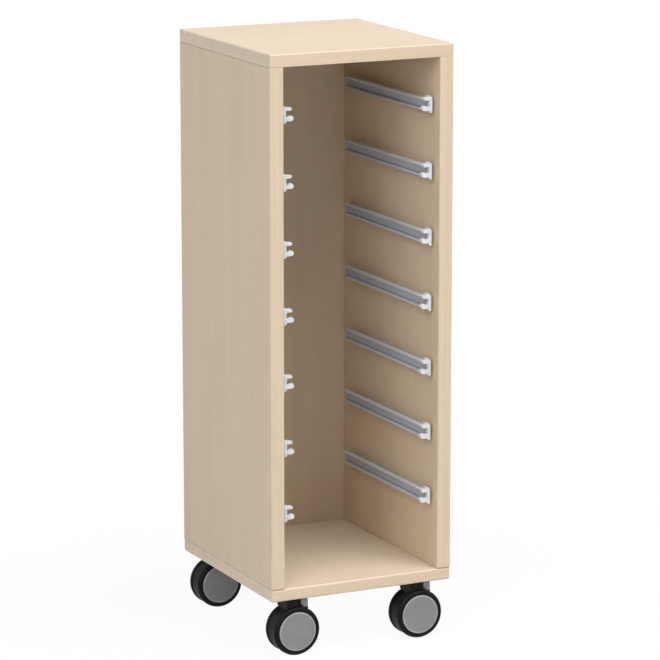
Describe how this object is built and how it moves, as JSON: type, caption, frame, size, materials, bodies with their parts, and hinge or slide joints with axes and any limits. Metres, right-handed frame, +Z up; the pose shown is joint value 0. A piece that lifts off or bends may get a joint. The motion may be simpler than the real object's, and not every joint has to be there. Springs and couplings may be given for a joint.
{
  "type": "tray storage unit",
  "caption": "Tall open-front cabinet on swivel twin-wheel casters, with paired channel runners and end clips on its side walls that carry slide-in storage trays.",
  "frame": {"origin": "on the floor, under the middle of the cabinet", "axes": "+Z up, the open front faces -Y, +X to the right seen from the front"},
  "size_m": [0.4, 0.434, 1.212],
  "materials": {
    "board": "matt pale maple-look laminate with edge banding",
    "back_board": "thin pale maple-look laminated back panel",
    "runner": "satin extruded aluminium",
    "clip": "satin white moulded plastic",
    "steel": "zinc-plated steel",
    "caster_black": "black moulded plastic",
    "tread_black": "black moulded wheel with a hard tread",
    "hub_grey": "satin mid-grey plastic disc"
  },
  "bodies": {
    "cabinet": {"top_panel": "board", "base_panel": "board", "left_side": "board", "right_side": "board", "back_panel": "back_board", "left_runner_1": "runner", "left_clip_1": "clip", "left_runner_2": "runner", "left_clip_2": "clip", "left_runner_3": "runner", "left_clip_3": "clip", "left_runner_4": "runner", "left_clip_4": "clip", "left_runner_5": "runner", "left_clip_5": "clip", "left_runner_6": "runner", "left_clip_6": "clip", "left_runner_7": "runner", "left_clip_7": "clip", "right_runner_1": "runner", "right_clip_1": "clip", "right_runner_2": "runner", "right_clip_2": "clip", "right_runner_3": "runner", "right_clip_3": "clip", "right_runner_4": "runner", "right_clip_4": "clip", "right_runner_5": "runner", "right_clip_5": "clip", "right_runner_6": "runner", "right_clip_6": "clip", "right_runner_7": "runner", "right_clip_7": "clip", "front_left_caster_stem": "steel", "front_right_caster_stem": "steel", "back_left_caster_stem": "steel", "back_right_caster_stem": "steel"},
    "front_left_caster": {"front_left_caster_body": "caster_black"},
    "front_left_near_wheel": {"front_left_wheel_near": "tread_black", "front_left_hub_near": "hub_grey"},
    "front_left_far_wheel": {"front_left_wheel_far": "tread_black", "front_left_hub_far": "hub_grey"},
    "front_right_caster": {"front_right_caster_body": "caster_black"},
    "front_right_near_wheel": {"front_right_wheel_near": "tread_black", "front_right_hub_near": "hub_grey"},
    "front_right_far_wheel": {"front_right_wheel_far": "tread_black", "front_right_hub_far": "hub_grey"},
    "back_left_caster": {"back_left_caster_body": "caster_black"},
    "back_left_near_wheel": {"back_left_wheel_near": "tread_black", "back_left_hub_near": "hub_grey"},
    "back_left_far_wheel": {"back_left_wheel_far": "tread_black", "back_left_hub_far": "hub_grey"},
    "back_right_caster": {"back_right_caster_body": "caster_black"},
    "back_right_near_wheel": {"back_right_wheel_near": "tread_black", "back_right_hub_near": "hub_grey"},
    "back_right_far_wheel": {"back_right_wheel_far": "tread_black", "back_right_hub_far": "hub_grey"}
  },
  "joints": [
    {"name": "front_left_swivel", "type": "hinge", "parent": "cabinet", "child": "front_left_caster", "pos_m": [-0.1195, -0.188, 0.117], "axis": [0, 0, 1], "continuous": true},
    {"name": "front_left_near_spin", "type": "hinge", "parent": "front_left_caster", "child": "front_left_near_wheel", "pos_m": [-0.1405, -0.201, 0.05], "axis": [0, 1, 0], "continuous": true},
    {"name": "front_left_far_spin", "type": "hinge", "parent": "front_left_caster", "child": "front_left_far_wheel", "pos_m": [-0.1405, -0.175, 0.05], "axis": [0, 1, 0], "continuous": true},
    {"name": "front_right_swivel", "type": "hinge", "parent": "cabinet", "child": "front_right_caster", "pos_m": [0.1555, -0.188, 0.117], "axis": [0, 0, 1], "continuous": true},
    {"name": "front_right_near_spin", "type": "hinge", "parent": "front_right_caster", "child": "front_right_near_wheel", "pos_m": [0.1345, -0.201, 0.05], "axis": [0, 1, 0], "continuous": true},
    {"name": "front_right_far_spin", "type": "hinge", "parent": "front_right_caster", "child": "front_right_far_wheel", "pos_m": [0.1345, -0.175, 0.05], "axis": [0, 1, 0], "continuous": true},
    {"name": "back_left_swivel", "type": "hinge", "parent": "cabinet", "child": "back_left_caster", "pos_m": [-0.1195, 0.188, 0.117], "axis": [0, 0, 1], "continuous": true},
    {"name": "back_left_near_spin", "type": "hinge", "parent": "back_left_caster", "child": "back_left_near_wheel", "pos_m": [-0.1405, 0.175, 0.05], "axis": [0, 1, 0], "continuous": true},
    {"name": "back_left_far_spin", "type": "hinge", "parent": "back_left_caster", "child": "back_left_far_wheel", "pos_m": [-0.1405, 0.201, 0.05], "axis": [0, 1, 0], "continuous": true},
    {"name": "back_right_swivel", "type": "hinge", "parent": "cabinet", "child": "back_right_caster", "pos_m": [0.1555, 0.188, 0.117], "axis": [0, 0, 1], "continuous": true},
    {"name": "back_right_near_spin", "type": "hinge", "parent": "back_right_caster", "child": "back_right_near_wheel", "pos_m": [0.1345, 0.175, 0.05], "axis": [0, 1, 0], "continuous": true},
    {"name": "back_right_far_spin", "type": "hinge", "parent": "back_right_caster", "child": "back_right_far_wheel", "pos_m": [0.1345, 0.201, 0.05], "axis": [0, 1, 0], "continuous": true}
  ]
}
